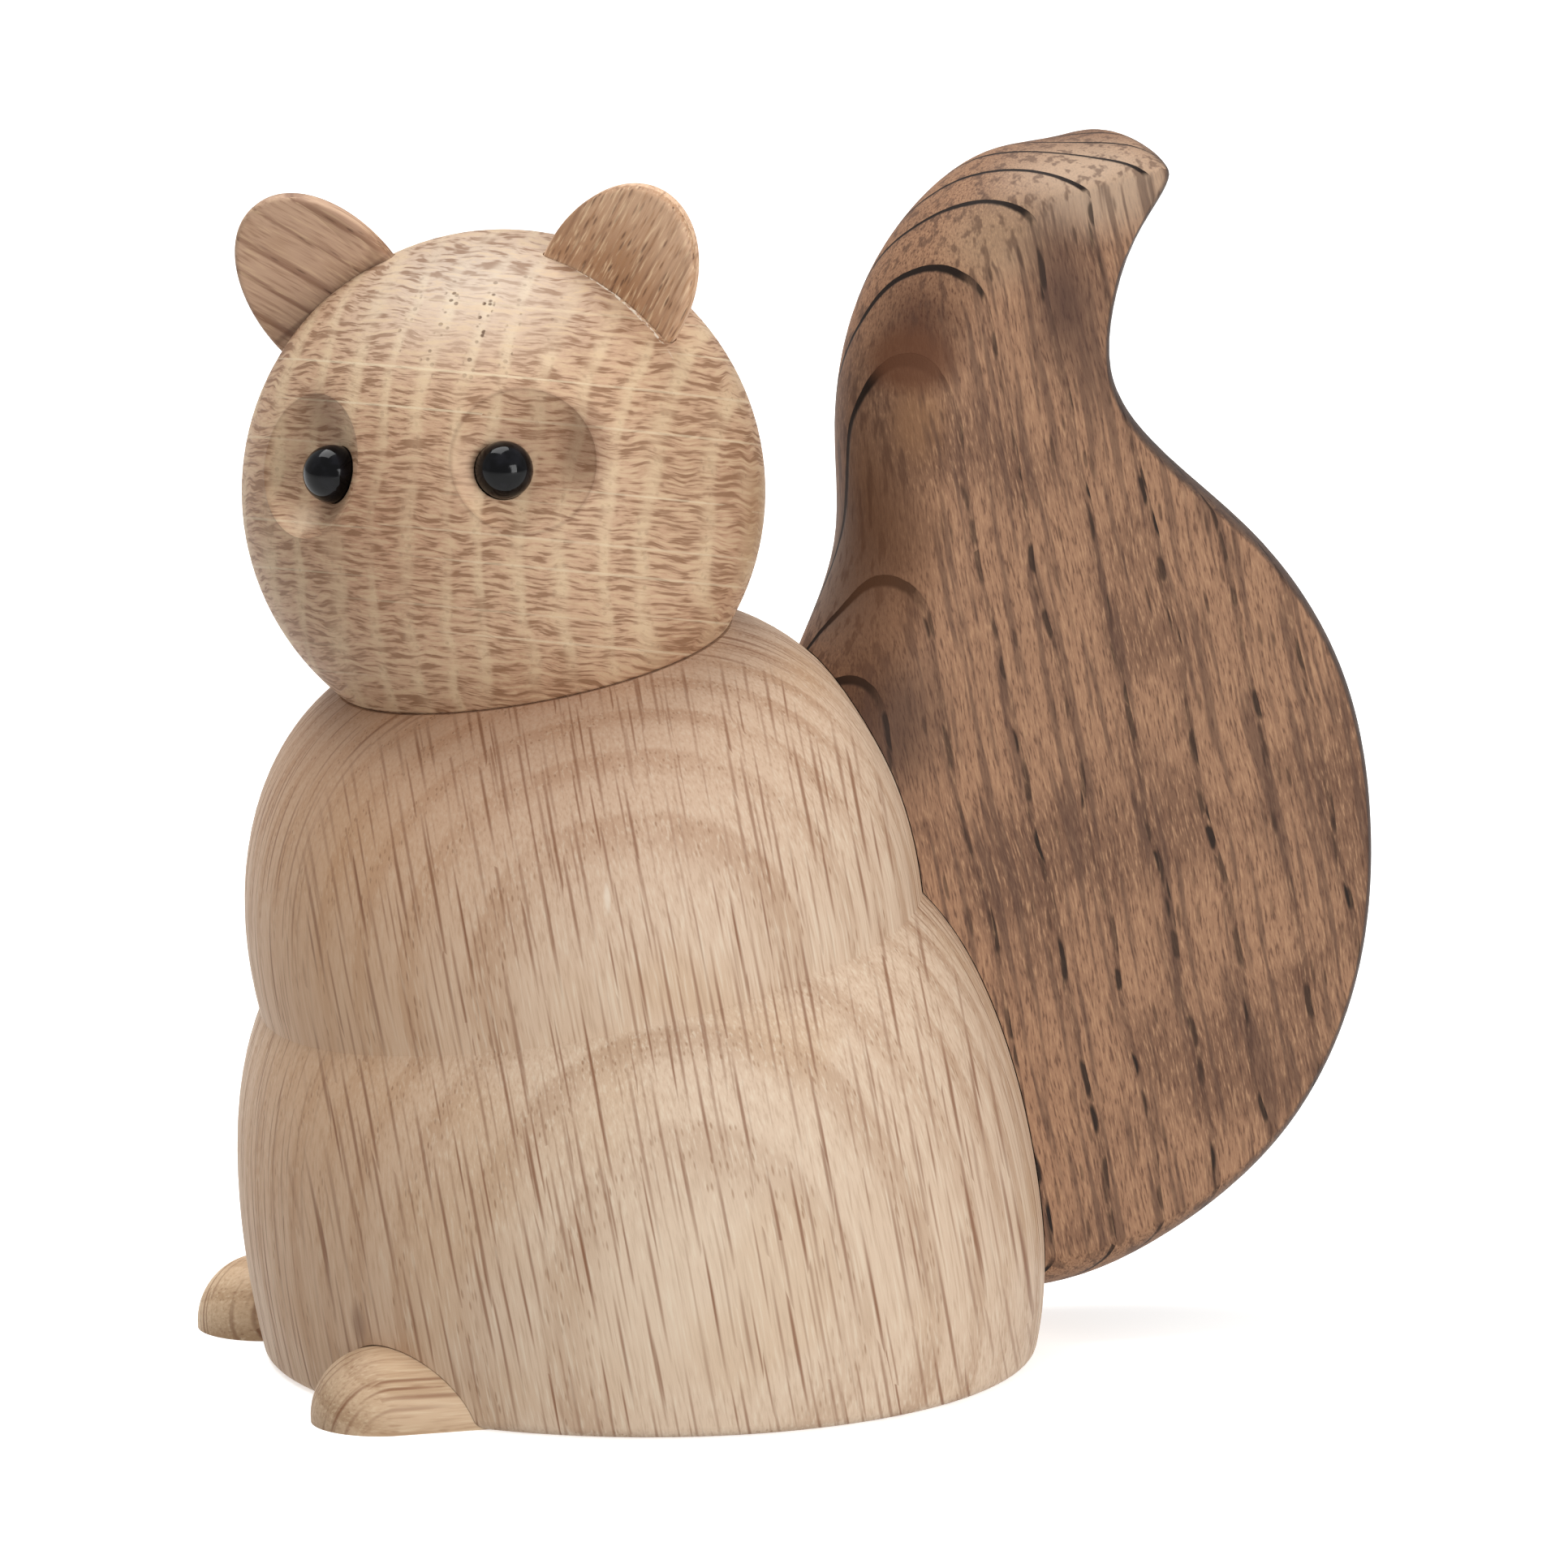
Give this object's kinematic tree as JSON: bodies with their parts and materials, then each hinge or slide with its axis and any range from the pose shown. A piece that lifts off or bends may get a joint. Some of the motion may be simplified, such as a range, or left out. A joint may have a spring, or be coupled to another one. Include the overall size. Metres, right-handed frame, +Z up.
{
  "type": "squirrel figurine",
  "caption": "Free-standing turned oak squirrel with a leaning two-lobed body, a ball head that turns on a neck dowel, let-in ears, bead eyes, domed feet and a smoked S-shaped tail.",
  "frame": {"origin": "centre of the flat underside, on the table", "axes": "+Z up, -Y the way the squirrel's body faces, +X to the squirrel's left"},
  "size_m": [0.075, 0.109, 0.1145],
  "materials": {
    "oak": "satin oiled light oak",
    "ear_oak": "satin oiled oak, a shade darker",
    "smoked_oak": "satin smoked oak",
    "bead": "gloss black bead",
    "dowel": "plain hardwood dowel, hidden"
  },
  "bodies": {
    "body": {"body": "oak", "tail": "smoked_oak", "foot_left": "oak", "foot_right": "oak", "neck_dowel": "dowel", "tail_dowel_upper": "dowel", "tail_dowel_lower": "dowel"},
    "head": {"head": "oak", "ear_left": "ear_oak", "ear_right": "ear_oak", "eye_left": "bead", "eye_right": "bead"}
  },
  "joints": [
    {"name": "head_turn", "type": "hinge", "parent": "body", "child": "head", "pos_m": [0, -0.01194, 0.06764], "axis": [0, -0.1865, 0.9825], "continuous": true}
  ]
}
